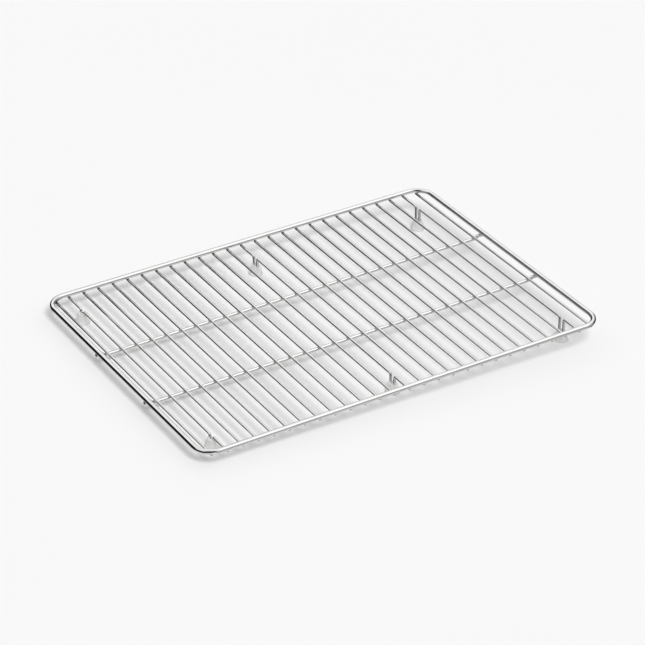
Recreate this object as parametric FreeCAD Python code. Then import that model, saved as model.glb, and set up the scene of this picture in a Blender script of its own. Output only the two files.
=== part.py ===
import FreeCAD, Part
import math
import os

# Wire cooling rack, stainless steel, with six push-on foot caps.
#
# The deck is built lying level, in its own frame: the cross wires' centres are in the
# plane z = 0, the long side runs along X and the wires run along Y. The legs get longer
# from left (-X) to right (+X), so stand_on_feet() then turns the whole rack by that fall
# and sets the flat bottoms of all six caps on z = 0, with the origin under the middle.

# ---- driving dimensions, millimetres ----
frame_length = 420.0        # over the frame rod, along X
frame_width = 301.0         # over the frame rod, along Y
frame_rod_d = 4.8
corner_radius = 17.0        # of the frame rod's centre line

wire_d = 2.4
wire_count = 27
edge_inset = 9.1            # frame centre line to the outermost wire's centre
outer_wire_gap = 14.3       # between the two outermost wires at each end, centre to centre
wire_overrun = 0.2          # how far the wires run past the frame's centre line
stretcher_overrun = 1.9     # and the stretcher rods
end_chamfer = 0.25          # on every sheared end

stretcher_d = 3.4           # the two long rods under the wires
stretcher_spacing = 91.0    # between their centres, along Y
joggle_run = 5.0            # length of the step up to the frame, along X
joggle_gap = 1.2            # level run between the outermost wire's centre and the step

weld_depth = 0.3            # how far two rods sink into each other at a weld

leg_wires = {"left": 2, "middle": 14, "right": 26}   # the wires that carry the legs
leg_inset = 27.6            # frame centre line to the leg's middle, along Y
limb_spacing = 6.2          # between the two limbs of a leg, centre to centre
leg_bend_radius = 2.2       # centre line, where the wire turns down
bare_leg_left = 0.7         # straight bare wire above a cap, at the left pair of legs
bare_leg_right = 11.5       # and at the right pair

cap_height = 9.5
cap_base_d = 14.0
cap_top_x = 8.2             # the mouth of a cap is oval
cap_top_y = 10.8
cap_floor = 1.5             # soft material under the end of a leg
cap_lip_radius = 0.6        # rounding of the mouth's rim

# ---- places that follow from them ----
rail_x = (frame_length - frame_rod_d) / 2
rail_y = (frame_width - frame_rod_d) / 2
frame_z = (frame_rod_d + wire_d) / 2 - weld_depth
stretcher_z = -((stretcher_d + wire_d) / 2 - weld_depth)
stretcher_end_z = frame_z - (frame_rod_d + stretcher_d) / 2 + weld_depth
leg_y = rail_y - leg_inset
reach_left = cap_height + bare_leg_left + leg_bend_radius     # wire centre to the floor
reach_right = cap_height + bare_leg_right + leg_bend_radius
outer_wire_x = rail_x - edge_inset
wire_pitch = 2 * (outer_wire_x - outer_wire_gap) / (wire_count - 3)


def wire_x(number):
    """Place of a cross wire along X; the wires count from 1 at the left."""
    if number == 1:
        return -outer_wire_x
    if number == wire_count:
        return outer_wire_x
    return (number - (wire_count + 1) / 2) * wire_pitch


leg_x = {side: wire_x(number) for side, number in leg_wires.items()}
fall = (reach_right - reach_left) / (leg_x["right"] - leg_x["left"])


def reach(x):
    """Distance from the wires' centre plane down to the floor at x."""
    return reach_left + fall * (x - leg_x["left"])


def bent_path(points, radii):
    """Straight runs through the points, with a tangent arc at each inner point."""
    edges = []
    start = points[0]
    for i in range(1, len(points) - 1):
        corner = points[i]
        back = (points[i - 1] - corner).normalize()
        ahead = (points[i + 1] - corner).normalize()
        half_turn = (math.pi - back.getAngle(ahead)) / 2
        setback = radii[i - 1] * math.tan(half_turn)
        arc_in = corner + back * setback
        arc_out = corner + ahead * setback
        inward = (back + ahead).normalize()
        to_middle = radii[i - 1] * (1 / math.cos(half_turn) - 1)
        if (arc_in - start).Length > 1e-6:
            edges.append(Part.LineSegment(start, arc_in).toShape())
        edges.append(Part.Arc(arc_in, corner + inward * to_middle, arc_out).toShape())
        start = arc_out
    if (points[-1] - start).Length > 1e-6:
        edges.append(Part.LineSegment(start, points[-1]).toShape())
    return Part.Wire(edges)


def sweep_round(path, diameter, start, direction):
    """A round rod along a path; its seam runs along its side, clear of every weld."""
    circle = Part.Circle(start, direction, diameter / 2)
    circle.XAxis = FreeCAD.Vector(0, 0, 1).cross(direction)
    return path.makePipeShell([Part.Wire(circle.toShape())], True, False)


def chamfer_ends(rod, ends):
    """Break the sharp rim of each sheared end face."""
    rims = []
    for edge in rod.Edges:
        if isinstance(edge.Curve, Part.Circle):
            if min((edge.Curve.Center - end).Length for end in ends) < 1e-4:
                rims.append(edge)
    return rod.makeChamfer(end_chamfer, rims)


def frame_rod():
    """The rim: one thick rod bent into a rounded rectangle and butt-welded."""
    x = rail_x - corner_radius
    y = rail_y - corner_radius
    edges = []
    for sign_x, sign_y, along in ((1, 1, "x"), (-1, 1, "y"), (-1, -1, "x"), (1, -1, "y")):
        centre = FreeCAD.Vector(sign_x * x, sign_y * y, frame_z)
        to_side = FreeCAD.Vector(sign_x * corner_radius, 0, 0)
        to_end = FreeCAD.Vector(0, sign_y * corner_radius, 0)
        middle = (to_side + to_end) * math.sqrt(0.5)
        first, last = (to_side, to_end) if along == "x" else (to_end, to_side)
        edges.append(Part.Arc(centre + first, centre + middle, centre + last).toShape())
        run = FreeCAD.Vector(-2 * sign_x * x, 0, 0)
        if along == "y":
            run = FreeCAD.Vector(0, -2 * sign_y * y, 0)
        edges.append(Part.LineSegment(centre + last, centre + last + run).toShape())
    path = Part.Wire(edges)
    start = FreeCAD.Vector(rail_x, y, frame_z)
    return sweep_round(path, frame_rod_d, start, FreeCAD.Vector(0, 1, 0))


def stretcher_rod(y, frame):
    """A long rod under the wires; both ends step up and are welded under the frame."""
    end_x = rail_x + stretcher_overrun
    step_in = outer_wire_x + joggle_gap
    rise = stretcher_end_z - stretcher_z
    step_radius = (joggle_run ** 2 + rise ** 2) / (4 * rise)
    half_angle = math.atan2(rise, joggle_run)
    tangent = step_radius * math.tan(half_angle)
    low = FreeCAD.Vector(step_in + tangent, y, stretcher_z)
    high = FreeCAD.Vector(step_in + joggle_run - tangent, y, stretcher_end_z)
    points = [
        FreeCAD.Vector(-end_x, y, stretcher_end_z),
        FreeCAD.Vector(-high.x, y, high.z),
        FreeCAD.Vector(-low.x, y, low.z),
        low,
        high,
        FreeCAD.Vector(end_x, y, stretcher_end_z),
    ]
    path = bent_path(points, [step_radius] * 4)
    rod = sweep_round(path, stretcher_d, points[0], FreeCAD.Vector(1, 0, 0))
    rod = chamfer_ends(rod, [points[0], points[-1]])
    return rod.cut(frame)


def rim_y(x):
    """Distance from the middle line to the frame's centre line at x; less round the corners."""
    into_corner = max(abs(x) - (rail_x - corner_radius), 0)
    return rail_y - corner_radius + math.sqrt(corner_radius ** 2 - into_corner ** 2)


def straight_wire_points(x):
    end_y = rim_y(x) + wire_overrun
    return [FreeCAD.Vector(x, -end_y, 0), FreeCAD.Vector(x, end_y, 0)]


def leg_wire_points(x):
    """Centre line of a wire that dips to the floor and back near each of its ends."""
    start, end = straight_wire_points(x)
    bottom = -(reach(x) - cap_floor - wire_d / 2)
    half = limb_spacing / 2
    points = [start]
    for middle in (-leg_y, leg_y):
        points += [
            FreeCAD.Vector(x, middle - half, 0),
            FreeCAD.Vector(x, middle - half, bottom),
            FreeCAD.Vector(x, middle + half, bottom),
            FreeCAD.Vector(x, middle + half, 0),
        ]
    points.append(end)
    return points


def cross_wire(number, seats):
    """A wire across the rack, notched where it sinks into the rods that it is welded to."""
    x = wire_x(number)
    if number in leg_wires.values():
        points = leg_wire_points(x)
        leg_radii = [leg_bend_radius, limb_spacing / 2, limb_spacing / 2, leg_bend_radius]
        radii = leg_radii * 2
    else:
        points = straight_wire_points(x)
        radii = []
    path = bent_path(points, radii)
    wire = sweep_round(path, wire_d, points[0], FreeCAD.Vector(0, 1, 0))
    wire = chamfer_ends(wire, [points[0], points[-1]])
    for seat in seats:
        wire = wire.cut(seat)
    return wire


def oval(x, y, z, size_x, size_y):
    """A closed oval outline lying flat at height z."""
    if abs(size_x - size_y) < 1e-9:
        curve = Part.Circle(FreeCAD.Vector(x, y, z), FreeCAD.Vector(0, 0, 1), size_x / 2)
        return Part.Wire(curve.toShape())
    major = FreeCAD.Vector(x, y + size_y / 2, z)
    minor = FreeCAD.Vector(x - size_x / 2, y, z)
    curve = Part.Ellipse(major, minor, FreeCAD.Vector(x, y, z))
    return Part.Wire(curve.toShape())


def leg_socket(x, y):
    """The slot in a cap: as wide as the wire, with a round bottom that fits the leg's bend."""
    half = limb_spacing / 2
    outer = half + wire_d / 2
    bend_z = -(reach(x) - cap_floor - wire_d / 2 - half)
    corner = FreeCAD.Vector(x - wire_d / 2, y - outer, bend_z)
    slot = Part.makeBox(wire_d, 2 * outer, reach(x), corner)
    bottom = Part.makeCylinder(
        outer, wire_d, FreeCAD.Vector(x - wire_d / 2, y, bend_z), FreeCAD.Vector(1, 0, 0)
    )
    return slot.fuse(bottom)


def floor_block():
    """Everything under the sloping floor plane, to cut the caps' bottoms with."""
    side = frame_length
    left, right = -side, side
    depth = FreeCAD.Vector(0, 0, -side)
    corners = [
        FreeCAD.Vector(left, -side, -reach(left)),
        FreeCAD.Vector(right, -side, -reach(right)),
        FreeCAD.Vector(right, -side, -reach(right)) + depth,
        FreeCAD.Vector(left, -side, -reach(left)) + depth,
    ]
    face = Part.Face(Part.makePolygon(corners + corners[:1]))
    return face.extrude(FreeCAD.Vector(0, 2 * side, 0))


def foot_cap(x, y, floor):
    """A soft translucent bell pushed on to the leg: round base, oval mouth, slot inside."""
    below_floor = fall * cap_base_d
    base_z = -reach(x)
    base = oval(x, y, base_z, cap_base_d, cap_base_d)
    mouth = oval(x, y, base_z + cap_height, cap_top_x, cap_top_y)
    bell = Part.makeLoft([base, mouth], True, True)
    skirt = Part.Face(oval(x, y, base_z - below_floor, cap_base_d, cap_base_d))
    bell = bell.fuse(skirt.extrude(FreeCAD.Vector(0, 0, below_floor)))
    rim = [e for e in bell.Edges if e.BoundBox.ZMin > base_z + cap_height - 1e-3]
    bell = bell.makeFillet(cap_lip_radius, rim)
    return bell.cut(leg_socket(x, y)).cut(floor)


def stand_on_feet(shape):
    """Turn a piece by the fall of the legs and set the floor plane on z = 0."""
    pivot = FreeCAD.Vector(0, 0, frame_z)
    angle = math.atan(fall)
    placed = shape.copy()
    placed.rotate(pivot, FreeCAD.Vector(0, 1, 0), -math.degrees(angle))
    floor_below_pivot = (reach(0) + frame_z) * math.cos(angle)
    placed.translate(FreeCAD.Vector(0, 0, floor_below_pivot - frame_z))
    return placed


def build():
    """Every piece of the rack by its node name, still in the deck's own frame."""
    pieces = {}
    frame = frame_rod()
    pieces["frame_rod"] = frame
    seats = [frame]
    for name, side in (("back", 1), ("front", -1)):
        rod = stretcher_rod(side * stretcher_spacing / 2, frame)
        pieces["stretcher_rod_" + name] = rod
        seats.append(rod)
    for number in range(1, wire_count + 1):
        pieces["cross_wire_%02d" % number] = cross_wire(number, seats)
    floor = floor_block()
    for row, side in (("back", 1), ("front", -1)):
        for column, x in leg_x.items():
            pieces["foot_cap_%s_%s" % (row, column)] = foot_cap(x, side * leg_y, floor)
    return pieces


os.makedirs("parts", exist_ok=True)
for node, shape in build().items():
    placed = stand_on_feet(shape)
    placed.exportStep("parts/" + node + ".step")
    print("%-22s volume %9.2f mm3  solids %d  valid %s" % (
        node, placed.Volume, len(placed.Solids), placed.isValid()))
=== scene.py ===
# %% [markdown]
# A wire cooling rack: a thick steel rod bent into a rim, thin wires welded across under it,
# two longer rods under the wires, and soft caps on six bent wire legs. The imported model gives
# every place and size. Here each rod is grown again as a smooth round section, because the
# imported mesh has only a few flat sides, and each surface gets the finish of the real one.

# %% Load the frame
import math

import bmesh
import bpy
from mathutils import Matrix, Vector


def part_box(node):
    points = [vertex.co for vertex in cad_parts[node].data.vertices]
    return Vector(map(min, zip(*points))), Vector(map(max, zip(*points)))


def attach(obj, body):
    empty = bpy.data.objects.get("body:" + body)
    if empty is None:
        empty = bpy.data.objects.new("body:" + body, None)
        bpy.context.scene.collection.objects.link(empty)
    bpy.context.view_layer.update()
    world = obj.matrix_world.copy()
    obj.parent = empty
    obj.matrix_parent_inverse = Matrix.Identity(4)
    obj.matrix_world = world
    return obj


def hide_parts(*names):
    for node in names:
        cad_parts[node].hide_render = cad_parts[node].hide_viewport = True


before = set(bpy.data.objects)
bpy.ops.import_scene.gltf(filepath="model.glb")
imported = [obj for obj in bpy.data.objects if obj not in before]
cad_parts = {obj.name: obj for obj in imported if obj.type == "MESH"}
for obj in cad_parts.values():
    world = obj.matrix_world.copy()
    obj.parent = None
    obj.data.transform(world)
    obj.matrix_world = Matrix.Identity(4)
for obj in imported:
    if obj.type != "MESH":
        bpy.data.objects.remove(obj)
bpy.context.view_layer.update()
mm = 0.001
scene = bpy.context.scene
print("nodes in the frame:", len(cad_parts))

# %% [markdown]
# The legs get longer towards +X, so the deck of wires isn't level: it climbs a little. The
# rods could be worked out in the tilted place where they lie, but all of them are easier to
# grow in the deck's own frame, where the wires' centres are at z = 0, and then to turn into
# place. Two straight wires, one near each end, give that frame.

# %% Find how the deck lies
UP = Vector((0, 0, 1))
ALONG_X = Vector((1, 0, 0))
ALONG_Y = Vector((0, 1, 0))


def middle(node_name):
    low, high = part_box(node_name)
    return (low + high) / 2


left_end = middle("cross_wire_03")
right_end = middle("cross_wire_25")
climb = math.atan2(right_end.z - left_end.z, right_end.x - left_end.x)
deck = Matrix.Translation((left_end + right_end) / 2) @ Matrix.Rotation(-climb, 4, "Y")
to_deck = deck.inverted()
print("the deck climbs %.2f degrees, middle at z = %.2f mm" % (
    math.degrees(climb), deck.translation.z / mm))

# %% [markdown]
# Sizes that the frame holds are read from it once and named: the three rod diameters, the
# rim's outline and the ends of the wires. A node's points are looked at in the deck's frame,
# and a rule can keep only some of them, such as those on the rim's straight side.

# %% Read the sizes
def deck_box(node_name, keep=lambda point: True):
    """Lowest and highest corner, in the deck's frame, of the points that keep accepts."""
    points = [to_deck @ v.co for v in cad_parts[node_name].data.vertices]
    points = [p for p in points if keep(p)]
    low = Vector([min(p[i] for p in points) for i in range(3)])
    high = Vector([max(p[i] for p in points) for i in range(3)])
    return low, high


rim_low, rim_high = deck_box("frame_rod")
rim_d = rim_high.z - rim_low.z
rim_z = (rim_high.z + rim_low.z) / 2
rim_x = rim_high.x - rim_d / 2
rim_y = rim_high.y - rim_d / 2
outermost = 0.02 * mm          # points this near the furthest one are on the straight run
rim_straight = deck_box("frame_rod", lambda p: p.x > rim_high.x - outermost)[1].y
corner_radius = rim_y - rim_straight

wire_low, wire_high = deck_box("cross_wire_03")
wire_d = wire_high.x - wire_low.x
wire_end = wire_high.y
outer_low, outer_high = deck_box("cross_wire_27")
outer_wire_x = (outer_low.x + outer_high.x) / 2

rod_low, rod_high = deck_box("stretcher_rod_back")
rod_d = rod_high.y - rod_low.y
rod_y = (rod_high.y + rod_low.y) / 2
rod_z = rod_low.z + rod_d / 2
rod_end = Vector((rod_high.x, 0, rod_high.z - rod_d / 2))
print("rim %.2f, wires %.2f, stretchers %.2f mm thick, corner radius %.1f mm" % (
    rim_d / mm, wire_d / mm, rod_d / mm, corner_radius / mm))

# %% [markdown]
# A colour is written as the hex value that a designer would pick on a screen. The shader
# works in linear light, so one function turns it over. A second one adds a node with its
# settings, values and links, and a third starts an empty material.

# %% Colours and nodes
def linear(hex_value):
    """An sRGB hex colour as linear red, green, blue and alpha."""
    channels = [int(hex_value[i:i + 2], 16) / 255 for i in (1, 3, 5)]
    return [c / 12.92 if c <= 0.04045 else ((c + 0.055) / 1.055) ** 2.4 for c in channels] + [1]


def node(tree, kind, links=None, inputs=None, **settings):
    """Add a node, set its settings and input values, and link other sockets into it."""
    made = tree.nodes.new(kind)
    for name, value in settings.items():
        setattr(made, name, value)
    for name, value in (inputs or {}).items():
        made.inputs[name].default_value = value
    for name, socket in (links or {}).items():
        tree.links.new(socket, made.inputs[name])
    return made


def new_material(name):
    material = bpy.data.materials.new(name)
    material.use_nodes = True
    material.node_tree.nodes.clear()
    return material, material.node_tree


print("linear(#808080) is %.3f" % linear("#808080")[0])

# %% [markdown]
# The camera stands at the corner of a worktop and looks down on the rack with a long lens, so
# that the far side looks nearly as long as the near one. Its angles are to the deck.

# %% Camera
camera_azimuth = -31.47        # degrees; 0 looks along +Y
camera_elevation = 31.69
camera_distance = 2.5302       # metres
focal_length = 153.86          # millimetres, on a sensor 36 mm wide
look_right = 0.67 * mm         # the point looked at, counted from the deck's middle
look_up = -7.62 * mm


def aim(azimuth, elevation):
    """Right, up and back directions of a camera at these angles."""
    a = math.radians(azimuth)
    e = math.radians(elevation)
    back = Vector((math.sin(a) * math.cos(e), -math.cos(a) * math.cos(e), math.sin(e)))
    right = UP.cross(back).normalized()
    return right, back.cross(right), back


right, up, back = aim(camera_azimuth, camera_elevation)
target = right * look_right + up * look_up
camera = bpy.data.objects.new("camera", bpy.data.cameras.new("camera"))
camera.data.sensor_width = 36
camera.data.lens = focal_length
camera.data.clip_start = 0.05
camera.data.clip_end = 50
stand = Matrix((right, up, back)).transposed().to_4x4()
stand.translation = target + back * camera_distance
camera.matrix_world = deck @ stand
scene.collection.objects.link(camera)
scene.camera = camera
print("camera at", [round(c, 3) for c in camera.matrix_world.translation])

# %% [markdown]
# Polished steel has hardly any look of its own: it shows the room. A product studio for it is
# a white tent with panels and black cards in it, because a bright or a black edge in the
# mirror is what draws the round shape of a wire. The tent here is the world's background,
# worked out from the direction alone, so it is the same from every side.

# %% Parts of a studio tent
scene.view_settings.view_transform = "Standard"
world = bpy.data.worlds.new("studio_tent")
scene.world = world
world.use_nodes = True
tent = world.node_tree
tent.nodes.clear()
direction = node(tent, "ShaderNodeTexCoord").outputs["Generated"]


def toward(azimuth, elevation):
    """The direction with this azimuth, counted from +Y towards +X, and elevation."""
    a = math.radians(azimuth)
    e = math.radians(elevation)
    return Vector((math.sin(a) * math.cos(e), math.cos(a) * math.cos(e), math.sin(e)))


def card(centre, half_angle, soft, inside, outside):
    """A round card in the tent: a value inside the angle, another outside, soft at its edge."""
    dot = node(tent, "ShaderNodeVectorMath", {0: direction}, {1: centre}, operation="DOT_PRODUCT")
    edge = node(tent, "ShaderNodeMapRange", {"Value": dot.outputs["Value"]},
                {"From Min": math.cos(math.radians(half_angle + soft)),
                 "From Max": math.cos(math.radians(half_angle - soft)),
                 "To Min": outside, "To Max": inside}, interpolation_type="SMOOTHSTEP")
    return edge.outputs["Result"]


def combine(operation, a, b):
    """Add or multiply two values in the tent."""
    both = node(tent, "ShaderNodeMath", {0: a, 1: b}, operation=operation)
    return both.outputs["Value"]


print("tent started")

# %% [markdown]
# The white top of the tent ends about 20 degrees above the floor, so every rod is light above
# and dark below. Each panel then draws one light line. The rods that run across the rack see
# the panels at the rear and at the low left, the long sides and the stretchers see the key
# panel above and the low front one, the upright legs see the near panel, and every underside
# sees the table top. Two black cards take light away: one draws the dark line just below the
# middle of each wire, and the other hangs round the camera and darkens the sheared ends.
# Lamps could draw these lines too, but each lamp would throw a shadow of its own.

# %% Panels and black cards
sky = card(toward(0, 90), 69, 5, 1.05, 0.0)
under_sky = card(toward(0, 90), 69, 5, 0.0, 1.0)
key_panel = card(toward(123, 57), 12, 5, 0.9, 0.0)
rear_panel = card(toward(22, 38), 14, 6, 0.15, 0.0)
low_rear_panel = combine("MULTIPLY", under_sky, card(toward(39, 6), 14, 4, 0.9, 0.0))
low_left_panel = card(toward(-25, -52), 17, 5, 0.6, 0.0)
low_front_panel = card(toward(149, -32), 8, 4, 0.5, 0.0)
near_panel = card(toward(-150, -38), 24, 8, 0.5, 0.0)
table_top = card(toward(0, -90), 39, 6, 0.7, 0.0)
walls = combine("MULTIPLY", under_sky, card(toward(150, -20), 50, 10, 0.42, 0.03))
wire_card = card(toward(-45, 9), 26, 5, 0.03, 1.0)
camera_card = card(toward(-148, 31), 27, 5, 0.04, 1.0)

light = sky
for panel in (key_panel, rear_panel, low_rear_panel, low_left_panel, low_front_panel,
              near_panel, table_top, walls):
    light = combine("ADD", light, panel)
for black in (wire_card, camera_card):
    light = combine("MULTIPLY", light, black)
print("tent has", len(tent.nodes), "nodes")

# %% [markdown]
# The steel's mirror sees the tent at full strength. Matt things get only a share of it, so
# that the shadow of the sun still shows on the floor, and the camera itself sees a plain pale
# backdrop behind the floor's far edge. The Light Path node tells these three rays apart.

# %% Share the light out
fill_share = 0.535             # of the tent, for matt surfaces
backdrop = 0.94                # what the camera sees past the floor
ray = node(tent, "ShaderNodeLightPath")
fill = node(tent, "ShaderNodeMapRange", {"Value": ray.outputs["Is Diffuse Ray"]},
            {"To Min": 1.0, "To Max": fill_share})
light = combine("MULTIPLY", light, fill.outputs["Result"])
light = node(tent, "ShaderNodeMapRange", {"Value": ray.outputs["Is Camera Ray"], "To Min": light},
             {"To Max": backdrop}).outputs["Result"]
background = node(tent, "ShaderNodeBackground", {"Strength": light}, {"Color": linear("#FFFFFF")})
node(tent, "ShaderNodeOutputWorld", {"Surface": background.outputs["Background"]})
print("matt surfaces get %.1f%% of the tent" % (100 * fill_share))

# %% [markdown]
# One large soft sun stands high in front of the rack, a little to the left, and makes the
# blurred shadow of every wire. The mirror doesn't see it, or each rod would have a hot line.

# %% Sun
sun = bpy.data.objects.new("key_light", bpy.data.lights.new("key_light", "SUN"))
sun.data.energy = 2.42
sun.data.angle = math.radians(27)
sun.rotation_euler = toward(-169, 51).to_track_quat("Z", "Y").to_euler()
sun.visible_glossy = False
scene.collection.objects.link(sun)
print("sun is %.0f degrees wide" % math.degrees(sun.data.angle))

# %% [markdown]
# Every mesh is finished the same way: points that coincide are merged, then the faces are
# turned outwards, and shading is smooth except across steep edges.

# %% Finish a mesh
same_point = 0.001 * mm        # points nearer to each other than this are one


def finish_mesh(bm, name, material, sharp=40):
    """Close the bmesh into an object with smooth shading, sharp only at steep edges."""
    bmesh.ops.remove_doubles(bm, verts=bm.verts, dist=same_point)
    bmesh.ops.recalc_face_normals(bm, faces=bm.faces)
    mesh = bpy.data.meshes.new(name)
    bm.to_mesh(mesh)
    bm.free()
    mesh.shade_smooth()
    mesh.set_sharp_from_angle(angle=math.radians(sharp))
    mesh.materials.append(material)
    made = bpy.data.objects.new(name, mesh)
    scene.collection.objects.link(made)
    return made


print("points within %.3f mm are merged" % (same_point / mm))

# %% [markdown]
# The floor is a sheet of white paper, much larger than the rack, so a flat grid of one face
# is enough. It is stage, not object. The steel doesn't see it: the tent's table top stands
# for it there, at a level of its own, so that the floor and its mirror image can be set apart.

# %% Floor
floor_half = 40                # metres, so that its edge is never near
clouds_per_metre = 3.0


def paper():
    """Matt white background paper: nearly no gloss, with a faint unevenness of tone."""
    material, tree = new_material("matt_white_background_paper")
    place = node(tree, "ShaderNodeTexCoord").outputs["Object"]
    cloud = node(tree, "ShaderNodeTexNoise", {"Vector": place},
                 {"Scale": clouds_per_metre, "Detail": 2.0})
    tone = node(tree, "ShaderNodeMix", {"Factor": cloud.outputs["Fac"]},
                data_type="RGBA", clamp_factor=True)
    tone.inputs[6].default_value = linear("#F1F1F1")
    tone.inputs[7].default_value = linear("#F2F2F2")
    surface = node(tree, "ShaderNodeBsdfPrincipled", {"Base Color": tone.outputs[2]},
                   {"Roughness": 0.9, "Specular IOR Level": 0.2})
    node(tree, "ShaderNodeOutputMaterial", {"Surface": surface.outputs["BSDF"]})
    return material


bm = bmesh.new()
bmesh.ops.create_grid(bm, x_segments=1, y_segments=1, size=floor_half)
floor = finish_mesh(bm, "floor", paper())
floor.visible_glossy = False
print("floor at z = 0, %d m wide" % (2 * floor_half))

# %% [markdown]
# Bright drawn wire: stainless steel pulled through a die, which leaves fine lines along it,
# then electropolished, which rounds those lines off and leaves a clear, slightly soft mirror.
# The lines follow the rod round every bend, so the finish reads an attribute that each rod
# carries: the place on its section and the length along it. Real die lines are a few
# hundredths of a millimetre apart; they are drawn at about a third of a millimetre to show.

# %% Steel finish
line_gap = 0.35 * mm           # between two die lines
line_length = 30 * mm
line_depth = 0.0015 * mm
patch_size = (4 * mm, 4 * mm, 14 * mm)   # of a slightly lighter or darker patch


def drawn_steel(name, dark, bright, roughness):
    """Electropolished stainless wire: a clear mirror with faint lines along the rod."""
    material, tree = new_material(name)
    on_rod = node(tree, "ShaderNodeAttribute", attribute_name="on_rod").outputs["Vector"]
    lines_at = node(tree, "ShaderNodeMapping", {"Vector": on_rod},
                    {"Scale": (1 / line_gap, 1 / line_gap, 1 / line_length)})
    lines = node(tree, "ShaderNodeTexNoise", {"Vector": lines_at.outputs["Vector"]},
                 {"Scale": 1.0, "Detail": 3.0, "Roughness": 0.6})
    patches_at = node(tree, "ShaderNodeMapping", {"Vector": on_rod},
                      {"Scale": [1 / size for size in patch_size]})
    patches = node(tree, "ShaderNodeTexNoise", {"Vector": patches_at.outputs["Vector"]},
                   {"Scale": 1.0, "Detail": 2.0})
    tone = node(tree, "ShaderNodeValToRGB", {"Fac": patches.outputs["Fac"]})
    low, high = tone.color_ramp.elements
    low.position, high.position = 0.3, 0.7
    low.color, high.color = linear(dark), linear(bright)
    gloss = node(tree, "ShaderNodeMapRange", {"Value": lines.outputs["Fac"]},
                 {"From Min": 0.25, "From Max": 0.75,
                  "To Min": roughness[0], "To Max": roughness[1]})
    relief = node(tree, "ShaderNodeBump", {"Height": lines.outputs["Fac"]},
                  {"Strength": 0.6, "Distance": line_depth})
    surface = node(tree, "ShaderNodeBsdfPrincipled",
                   {"Base Color": tone.outputs["Color"], "Roughness": gloss.outputs["Result"],
                    "Normal": relief.outputs["Normal"]},
                   {"Metallic": 1.0})
    node(tree, "ShaderNodeOutputMaterial", {"Surface": surface.outputs["BSDF"]})
    return material


steel = drawn_steel("electropolished_stainless_wire", "#D9D9D8", "#E3E3E2", (0.03, 0.08))
print("made", steel.name)

# %% [markdown]
# Every rod is made the way a wire bender makes it: a round section is fed forward, turned
# about a point beside it, and fed again. So a rod is written down as a list of moves, and a
# bend's hub is told by a direction that the bend turns about. A curve with a round bevel
# would be shorter to write, but its mesh can't say where a point is on the section, which
# the die lines need.

# %% Moves of the rod bender
def feed(length):
    """A straight run."""
    return [("feed", length)]


def turn(toward_hub, radius, degrees, steps):
    """A bend about a hub on that side, of that radius at the rod's middle."""
    return [("turn", toward_hub, radius, math.radians(degrees) / steps)] * steps


def hub_about(axis):
    """The side, square to the rod, on which the hub of a bend about this axis lies."""
    def pick(here):
        return axis.cross(here.col[2].xyz).normalized()
    return pick


print("a quarter bend takes", len(turn(hub_about(UP), corner_radius, 90, 20)), "small turns")

# %% [markdown]
# In mesh terms a ring of points is extruded once for each straight run and in small steps
# round each bend. Both ends are then filled, and their sharp rims broken, as a tumbler does
# to sheared wire. The foot caps further down grow from a ring in the same way.

# %% Grow a ring, close the ends
end_chamfer = 0.25 * mm


def extrude_ring(bm, edges):
    """Extrude a ring of edges where it is; gives the new ring's points and edges."""
    grown = bmesh.ops.extrude_edge_only(bm, edges=edges)["geom"]
    verts = [g for g in grown if isinstance(g, bmesh.types.BMVert)]
    new = set(verts)
    edges = [g for g in grown if isinstance(g, bmesh.types.BMEdge) and set(g.verts) <= new]
    return verts, edges


def close_ends(bm, rings):
    """Fill both sheared ends and break their sharp rims."""
    for ring in rings:
        bmesh.ops.holes_fill(bm, edges=ring, sides=0)
    rims = [edge for ring in rings for edge in ring]
    bmesh.ops.bevel(bm, geom=rims, offset=end_chamfer, offset_type="OFFSET", segments=2,
                    profile=0.5, affect="EDGES", material=-1)


print("sheared rims are rounded by %.2f mm" % (end_chamfer / mm))

# %% [markdown]
# The bender keeps the pose of the section as it goes. That pose turns each ring into place,
# and it also gives each point its place on the section and its length along the rod, which
# the steel finish reads.

# %% The rod bender
def bend_rod(bm, diameter, start, heading, moves, sides=24, closed=False):
    """Grow a round rod in bm by feeding and turning its section from start."""
    on_rod = bm.verts.layers.float_vector.new("on_rod")
    here = Matrix.Translation(start) @ heading.to_track_quat("Z", "Y").to_matrix().to_4x4()
    verts = bmesh.ops.create_circle(bm, radius=diameter / 2, segments=sides, matrix=here)["verts"]
    edges = list({edge for v in verts for edge in v.link_edges})
    rings = [edges]
    along = 0.0
    for v in verts:
        v[on_rod] = here.inverted() @ v.co
    for move in moves:
        verts, edges = extrude_ring(bm, edges)
        ahead = here.col[2].xyz.normalized()
        if move[0] == "feed":
            step = Matrix.Translation(ahead * move[1])
            along += move[1]
        else:
            side, radius, angle = move[1:]
            hub = here.translation + side(here) * radius
            axis = ahead.cross(side(here))
            step = Matrix.Translation(hub) @ Matrix.Rotation(angle, 4, axis)
            step = step @ Matrix.Translation(-hub)
            along += radius * angle
        bmesh.ops.transform(bm, matrix=step, verts=verts)
        here = step @ here
        back_to_section = here.inverted()
        for v in verts:
            place = back_to_section @ v.co
            v[on_rod] = (place.x, place.y, along)
    rings.append(edges)
    if not closed:
        close_ends(bm, rings)


print("bender ready")

# %% [markdown]
# The rim is one rod bent into a rectangle with round corners; its two ends are butt-welded
# and ground flush. The bender goes all the way round, its last ring lands on its first, and
# merging the two closes the rim with no seam.

# %% Rim
def rim():
    bm = bmesh.new()
    run_x = 2 * (rim_x - corner_radius)
    run_y = 2 * (rim_y - corner_radius)
    corner = turn(hub_about(UP), corner_radius, 90, 20)
    moves = []
    for run in (run_y, run_x, run_y, run_x):
        moves += feed(run) + corner
    start = Vector((rim_x, -run_y / 2, rim_z))
    bend_rod(bm, rim_d, start, ALONG_Y, moves, sides=40, closed=True)
    bm.transform(deck)
    made = finish_mesh(bm, "rim_rod", steel)
    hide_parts("frame_rod")
    return made


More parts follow.
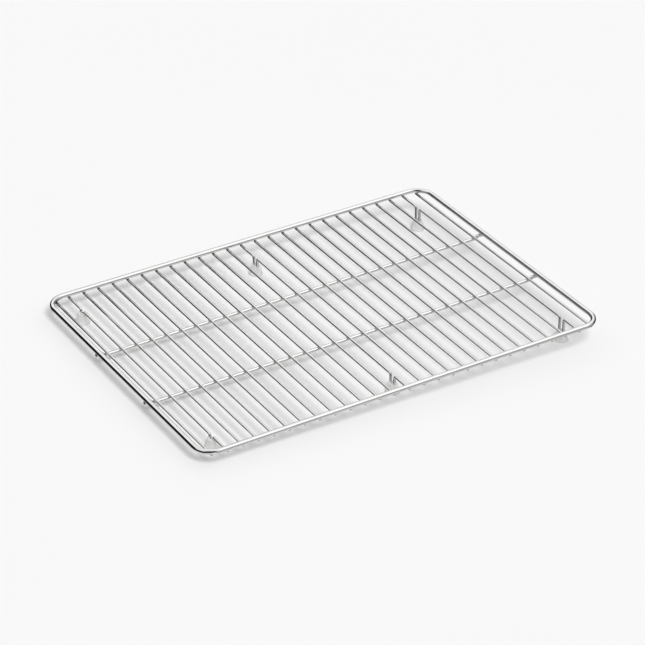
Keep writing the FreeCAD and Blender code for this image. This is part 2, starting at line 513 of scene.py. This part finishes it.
rods = [rim()]
print("rim:", len(rods[0].data.polygons), "faces")

# %% [markdown]
# A stretcher is straight under the wires. Just past the outermost wire at each end it steps
# up, in two equal bends, so that its end can be welded under the rim. Pulling the ends of a
# straight rod up would squash its section at the step, so it is bent by the same moves as
# the real one.

# %% Stretchers
step_gap = 1.2 * mm            # level run between the outermost wire and the step
step_run = 5.0 * mm            # length of the step


def stretcher(node_name, side):
    bm = bmesh.new()
    rise = rod_end.z - rod_z
    radius = (step_run ** 2 + rise ** 2) / (4 * rise)
    slope = 2 * math.degrees(math.atan2(rise, step_run))
    flat = outer_wire_x + step_gap
    end_run = rod_end.x - flat - step_run
    towards_up = turn(hub_about(-ALONG_Y), radius, slope, 8)
    towards_down = turn(hub_about(ALONG_Y), radius, slope, 8)
    moves = feed(end_run) + towards_down + towards_up + feed(2 * flat)
    moves += towards_up + towards_down + feed(end_run)
    start = Vector((-rod_end.x, side * rod_y, rod_end.z))
    bend_rod(bm, rod_d, start, ALONG_X, moves, sides=32)
    bm.transform(deck)
    made = finish_mesh(bm, node_name.replace("rod", "bar"), steel)
    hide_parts(node_name)
    return made


for node_name, side in (("stretcher_rod_back", 1), ("stretcher_rod_front", -1)):
    rods.append(stretcher(node_name, side))
print("stretchers: thickness %.1f mm" % (rod_d / mm))

# %% [markdown]
# Most of the cross wires are straight. Three of them are also the legs: near each end the
# wire turns down, goes round a small half circle and comes up again. The depth of each leg is
# read from its node, because the legs get longer towards one side. So is each wire's end,
# because the two outermost wires end sooner, under the rim's round corners.

# %% Cross wires
leg_bend = 2.2 * mm            # radius at the wire's middle, where it turns down


def leg_moves(node_name):
    """The moves of a wire with two legs, all read from its node's own outline."""
    low, high = deck_box(node_name)
    below = -wire_d / 2 - leg_bend
    front_low, front_high = deck_box(node_name, lambda p: p.z < below and p.y < 0)
    spread = front_high.y - front_low.y - wire_d
    leg_y = (front_high.y + front_low.y) / 2
    first_run = leg_y - spread / 2 - leg_bend + high.y
    limb = -low.z - wire_d / 2 - leg_bend - spread / 2
    down = turn(hub_about(-ALONG_X), leg_bend, 90, 8)
    round_bottom = turn(hub_about(ALONG_X), spread / 2, 180, 16)
    leg = down + feed(limb) + round_bottom + feed(limb) + down
    between = -2 * leg_y - spread - 2 * leg_bend
    return feed(first_run) + leg + feed(between) + leg + feed(first_run)


def cross_wire(number):
    node_name = "cross_wire_%02d" % number
    low, high = deck_box(node_name)
    x = (low.x + high.x) / 2
    has_legs = low.z < -wire_d
    moves = leg_moves(node_name) if has_legs else feed(2 * high.y)
    bm = bmesh.new()
    bend_rod(bm, wire_d, Vector((x, -high.y, 0)), ALONG_Y, moves)
    bm.transform(deck)
    made = finish_mesh(bm, "wire_%02d" % number, steel)
    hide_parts(node_name)
    return made, x, high.y


wire_count = sum(name.startswith("cross_wire_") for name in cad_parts)
wire_places = []
for number in range(1, wire_count + 1):
    wire, x, end = cross_wire(number)
    rods.append(wire)
    wire_places.append((x, end))
pitch = wire_places[2][0] - wire_places[1][0]
print("wires:", len(wire_places), "pitch %.2f mm" % (pitch / mm))

# %% [markdown]
# Where two rods cross they are resistance welded: current melts the touching spot and the
# rods sink into each other a little. The metal that is squeezed out freezes as a low bead
# round the joint, and is pickled afterwards: the same steel, but greyer and satin, because
# acid leaves a fine grain that scatters the light. The real grain is some hundredths of a
# millimetre; it is drawn ten times coarser to show.

# %% Weld finish
weld_grain = 0.5 * mm
weld_relief = 0.02 * mm


def weld_finish():
    """Pickled weld metal: the same steel, greyer and with a fine grainy, satin surface."""
    material, tree = new_material("pickled_weld_metal")
    place = node(tree, "ShaderNodeTexCoord").outputs["Object"]
    grain = node(tree, "ShaderNodeTexNoise", {"Vector": place},
                 {"Scale": 1 / weld_grain, "Detail": 3.0})
    tone = node(tree, "ShaderNodeValToRGB", {"Fac": grain.outputs["Fac"]})
    low, high = tone.color_ramp.elements
    low.color, high.color = linear("#BFBEBA"), linear("#DAD9D5")
    gloss = node(tree, "ShaderNodeMapRange", {"Value": grain.outputs["Fac"]},
                 {"To Min": 0.2, "To Max": 0.4})
    relief = node(tree, "ShaderNodeBump", {"Height": grain.outputs["Fac"]},
                  {"Strength": 0.5, "Distance": weld_relief})
    surface = node(tree, "ShaderNodeBsdfPrincipled",
                   {"Base Color": tone.outputs["Color"], "Roughness": gloss.outputs["Result"],
                    "Normal": relief.outputs["Normal"]}, {"Metallic": 1.0})
    node(tree, "ShaderNodeOutputMaterial", {"Surface": surface.outputs["BSDF"]})
    return material


weld_metal = weld_finish()
print("made", weld_metal.name)

# %% [markdown]
# A bead is a flattened ball at the spot where two rods meet. Fillets cut by booleans would
# follow the rods more closely, but over a hundred of them give a heavy, ragged mesh, and
# what shows of a bead is only a small bump. So the balls have few faces and make one piece.

# %% Weld beads
weld_sink = 0.3 * mm           # how far two rods sink into each other
# half width and half thickness of a bead: wire to rim, wire to stretcher, stretcher to rim
bead_at_rim = (1.35 * mm, 0.5 * mm)
bead_at_rod = (1.2 * mm, 0.45 * mm)
bead_at_end = (1.6 * mm, 0.55 * mm)


def bead(bm, x, y, z, size):
    """A flattened ball of metal round the spot where two rods meet."""
    wide, thick = size
    shape = Matrix.Translation((x, y, z)) @ Matrix.Diagonal((wide, wide, thick, 1))
    bmesh.ops.create_uvsphere(bm, u_segments=12, v_segments=6, radius=1, matrix=shape)


bm = bmesh.new()
above_wire = wire_d / 2 - weld_sink / 2
above_rod = rim_z - rim_d / 2 + weld_sink / 2
past_rim = wire_end - rim_y
for x, end in wire_places:
    for side in (-1, 1):
        bead(bm, x, side * (end - past_rim), above_wire, bead_at_rim)
        bead(bm, x, side * rod_y, -above_wire, bead_at_rod)
for side_x in (-1, 1):
    for side_y in (-1, 1):
        bead(bm, side_x * rim_x, side_y * rod_y, above_rod, bead_at_end)
bm.transform(deck)
beads = finish_mesh(bm, "weld_beads", weld_metal)
print("weld beads:", len(beads.data.polygons), "faces")

# %% [markdown]
# The foot caps are moulded silicone, milky and half clear: the wire inside and the floor
# behind show through. Its skin is satin, because the mould is lightly blasted; that grain is
# a few hundredths of a millimetre in fact and is drawn ten times coarser to show. Glass-like
# transmission would bend the light and turn such a small cap dark, so the clearness is the
# shader's alpha, which lets light through evenly and keeps the cap pale.

# %% Silicone finish
skin_grain = 0.6 * mm
skin_relief = 0.01 * mm
haze_size = 6 * mm             # of a slightly whiter cloud in the silicone


def silicone():
    """Moulded translucent silicone: milky body, soft satin skin with a faint mould texture."""
    material, tree = new_material("milky_moulded_silicone")
    place = node(tree, "ShaderNodeTexCoord").outputs["Object"]
    skin = node(tree, "ShaderNodeTexNoise", {"Vector": place},
                {"Scale": 1 / skin_grain, "Detail": 3.0})
    haze = node(tree, "ShaderNodeTexNoise", {"Vector": place},
                {"Scale": 1 / haze_size, "Detail": 1.0})
    tone = node(tree, "ShaderNodeValToRGB", {"Fac": haze.outputs["Fac"]})
    low, high = tone.color_ramp.elements
    low.color, high.color = linear("#F4F4F3"), linear("#FCFCFB")
    gloss = node(tree, "ShaderNodeMapRange", {"Value": skin.outputs["Fac"]},
                 {"To Min": 0.22, "To Max": 0.36})
    relief = node(tree, "ShaderNodeBump", {"Height": skin.outputs["Fac"]},
                  {"Strength": 0.4, "Distance": skin_relief})
    surface = node(tree, "ShaderNodeBsdfPrincipled",
                   {"Base Color": tone.outputs["Color"], "Roughness": gloss.outputs["Result"],
                    "Normal": relief.outputs["Normal"]},
                   {"IOR": 1.41, "Alpha": 0.5})
    node(tree, "ShaderNodeOutputMaterial", {"Surface": surface.outputs["BSDF"]})
    return material


milky = silicone()
print("made", milky.name)

# %% [markdown]
# A cap is a little bell, round at the floor and oval at the mouth, with a shallow recess
# below so that it stands on a ring and doesn't rock. It could be turned on a lathe, but it is
# round only at the bottom, so a ring of points is lifted and stretched step by step instead.

# %% Outside of a foot cap
mouth_x = 8.2 * mm
mouth_y = 10.8 * mm
recess_depth = 0.4 * mm
# how much narrower than the base: the recess's flat middle, its edge, and the standing ring
recess_flat, recess_edge, standing_edge = 5.0 * mm, 3.6 * mm, 3.0 * mm
foot_round = 0.9 * mm          # rounding of the outer edge at the floor
lip = 0.7 * mm                 # rounding of the mouth's edge
flare = 0.85                   # below 1 the bell's side is hollow
round_steps, flare_steps, lip_steps = 5, 8, 4


def lift_ring(bm, edges, stretch, rise):
    """Extrude a ring, stretch it in X and Y and lift it; gives the new points and edges."""
    verts, edges = extrude_ring(bm, edges)
    bmesh.ops.scale(bm, vec=(stretch[0], stretch[1], 1), verts=verts)
    bmesh.ops.translate(bm, vec=(0, 0, rise), verts=verts)
    return verts, edges


def cap_profile(base_d, height):
    """Sizes in X and Y and the height of each ring, from under the cap up to its lip."""
    rings = [(base_d - recess_flat, base_d - recess_flat, recess_depth),
             (base_d - recess_edge, base_d - recess_edge, recess_depth),
             (base_d - standing_edge, base_d - standing_edge, 0)]
    for step in range(round_steps + 1):
        angle = math.radians(90 * step / round_steps)
        inset = 2 * foot_round * (1 - math.sin(angle))
        rings.append((base_d - inset, base_d - inset, foot_round * (1 - math.cos(angle))))
    for step in range(1, flare_steps + 1):
        share = step / flare_steps
        ease = share ** flare
        rings.append((base_d + (mouth_x - base_d) * ease, base_d + (mouth_y - base_d) * ease,
                      foot_round + (height - lip - foot_round) * share))
    for step in range(1, lip_steps + 1):
        angle = math.radians(90 * step / lip_steps)
        inset = 2 * lip * (1 - math.cos(angle))
        rings.append((mouth_x - inset, mouth_y - inset, height - lip * (1 - math.sin(angle))))
    return rings


def cap_outside(bm, base_d, height):
    """Grow the bell from its recess up to the lip; gives the lip's inner ring and its size."""
    rings = cap_profile(base_d, height)
    size = rings[0]
    verts = bmesh.ops.create_circle(bm, radius=size[0] / 2, segments=48,
                                    matrix=Matrix.Translation((0, 0, size[2])))["verts"]
    edges = list({edge for v in verts for edge in v.link_edges})
    bmesh.ops.holes_fill(bm, edges=edges, sides=0)
    for ring in rings[1:]:
        stretch = (ring[0] / size[0], ring[1] / size[1])
        verts, edges = lift_ring(bm, edges, stretch, ring[2] - size[2])
        size = ring
    return edges, size


print("mouth %.1f by %.1f mm" % (mouth_x / mm, mouth_y / mm))

# %% [markdown]
# The slot that grips the leg is cut from the top: the lip's ring shrinks to a round hole as
# wide as the wire, its two halves are pulled apart, and it goes down in steps that follow the
# leg's round bottom.

# %% Foot caps
slot_play = 0.08 * mm          # on each side of the wire
slot_pull = 3.1 * mm           # of each half of the slot, from its middle
slot_floor = 1.4 * mm          # silicone left under the slot
slot_steps = 7
seam = 0.01 * mm               # points nearer to the middle than this stay there


def cap_slot(bm, edges, size, height):
    """Lead the lip's ring in and down round the leg, and close it at the bottom."""
    slot_d = wire_d + 2 * slot_play
    verts, edges = lift_ring(bm, edges, (slot_d / size[0], slot_d / size[1]), 0)
    for side in (-1, 1):
        half = [v for v in verts if v.co.y * side > seam]
        bmesh.ops.translate(bm, vec=(0, side * slot_pull, 0), verts=half)
    bend = slot_pull + slot_d / 2
    verts, edges = lift_ring(bm, edges, (1, 1), -(height - slot_floor - bend))
    angles = [math.radians(90 * step / slot_steps) for step in range(slot_steps)]
    for before, angle in zip(angles, angles[1:]):
        drop = bend * (math.sin(angle) - math.sin(before))
        verts, edges = lift_ring(bm, edges, (1, math.cos(angle) / math.cos(before)), -drop)
    bmesh.ops.holes_fill(bm, edges=edges, sides=0)


def foot_cap(node_name):
    low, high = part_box(node_name)
    centre = (low + high) / 2
    bm = bmesh.new()
    lip_ring, lip_size = cap_outside(bm, high.y - low.y, high.z)
    cap_slot(bm, lip_ring, lip_size, high.z)
    bmesh.ops.translate(bm, vec=(centre.x, centre.y, 0), verts=bm.verts)
    made = finish_mesh(bm, node_name.replace("foot_cap", "cap"), milky, sharp=60)
    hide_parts(node_name)
    return made


caps = [foot_cap(name) for name in sorted(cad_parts) if name.startswith("foot_cap_")]
print("caps:", len(caps), "with", len(caps[0].data.polygons), "faces each")

# %% [markdown]
# Nothing on this rack moves, so every piece rides on the one body.

# %% Ride
for piece in rods + [beads]:
    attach(piece, "root")
for piece in caps:
    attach(piece, "root")
print("pieces:", len(rods) + len(caps) + 1)
